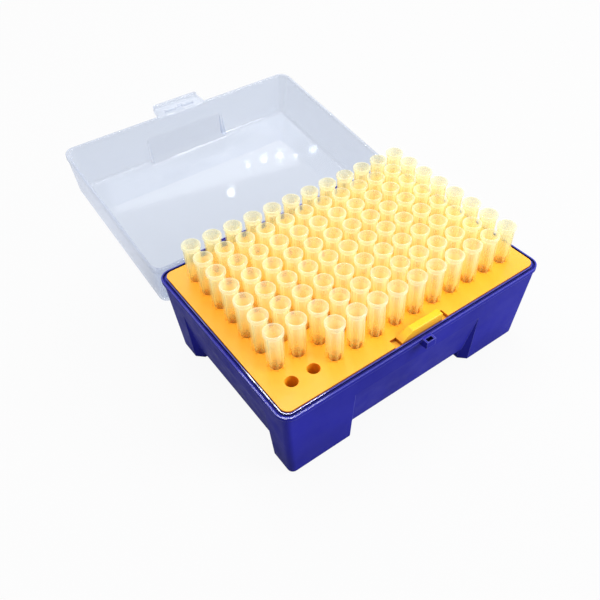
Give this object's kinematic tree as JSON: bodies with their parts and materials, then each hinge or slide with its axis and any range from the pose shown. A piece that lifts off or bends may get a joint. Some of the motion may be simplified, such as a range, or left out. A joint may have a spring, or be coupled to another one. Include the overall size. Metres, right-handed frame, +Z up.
{
  "type": "pipette tip box",
  "caption": "Hinged-lid box with a rack of filter pipette tips standing in a grid of holes; the base has four feet, a snap catch and hinge hooks, and the lid a lifting tab.",
  "frame": {"origin": "centre of the base's footprint, at the height of the feet's flat rims", "axes": "+X along the rows of twelve holes, to the right as seen from the catch; +Y from the catch to the hinge; +Z up out of the tips' mouths"},
  "size_m": [0.1222, 0.185, 0.0559],
  "materials": {
    "blue_plastic": "moulded polypropylene, satin gloss",
    "orange_plastic": "moulded polypropylene, slightly translucent",
    "clear_lid": "clear polypropylene, slightly hazy",
    "tip_plastic": "natural polypropylene, milky and translucent",
    "filter_plastic": "porous polyethylene"
  },
  "bodies": {
    "base": {"base_box": "blue_plastic", "tip_rack": "orange_plastic", "tips_column_01": "tip_plastic", "tips_column_02": "tip_plastic", "tips_column_03": "tip_plastic", "tips_column_04": "tip_plastic", "tips_column_05": "tip_plastic", "tips_column_06": "tip_plastic", "tips_column_07": "tip_plastic", "tips_column_08": "tip_plastic", "tips_column_09": "tip_plastic", "tips_column_10": "tip_plastic", "tips_column_11": "tip_plastic", "tips_column_12": "tip_plastic", "filters_column_01": "filter_plastic", "filters_column_02": "filter_plastic", "filters_column_03": "filter_plastic", "filters_column_04": "filter_plastic", "filters_column_05": "filter_plastic", "filters_column_06": "filter_plastic", "filters_column_07": "filter_plastic", "filters_column_08": "filter_plastic", "filters_column_09": "filter_plastic", "filters_column_10": "filter_plastic", "filters_column_11": "filter_plastic", "filters_column_12": "filter_plastic"},
    "lid": {"lid": "clear_lid"}
  },
  "joints": [
    {"name": "lid_hinge", "type": "hinge", "parent": "base", "child": "lid", "pos_m": [0, 0.04445, 0.0378], "axis": [1, 0, 0], "range_deg": [0, 171.6]}
  ]
}
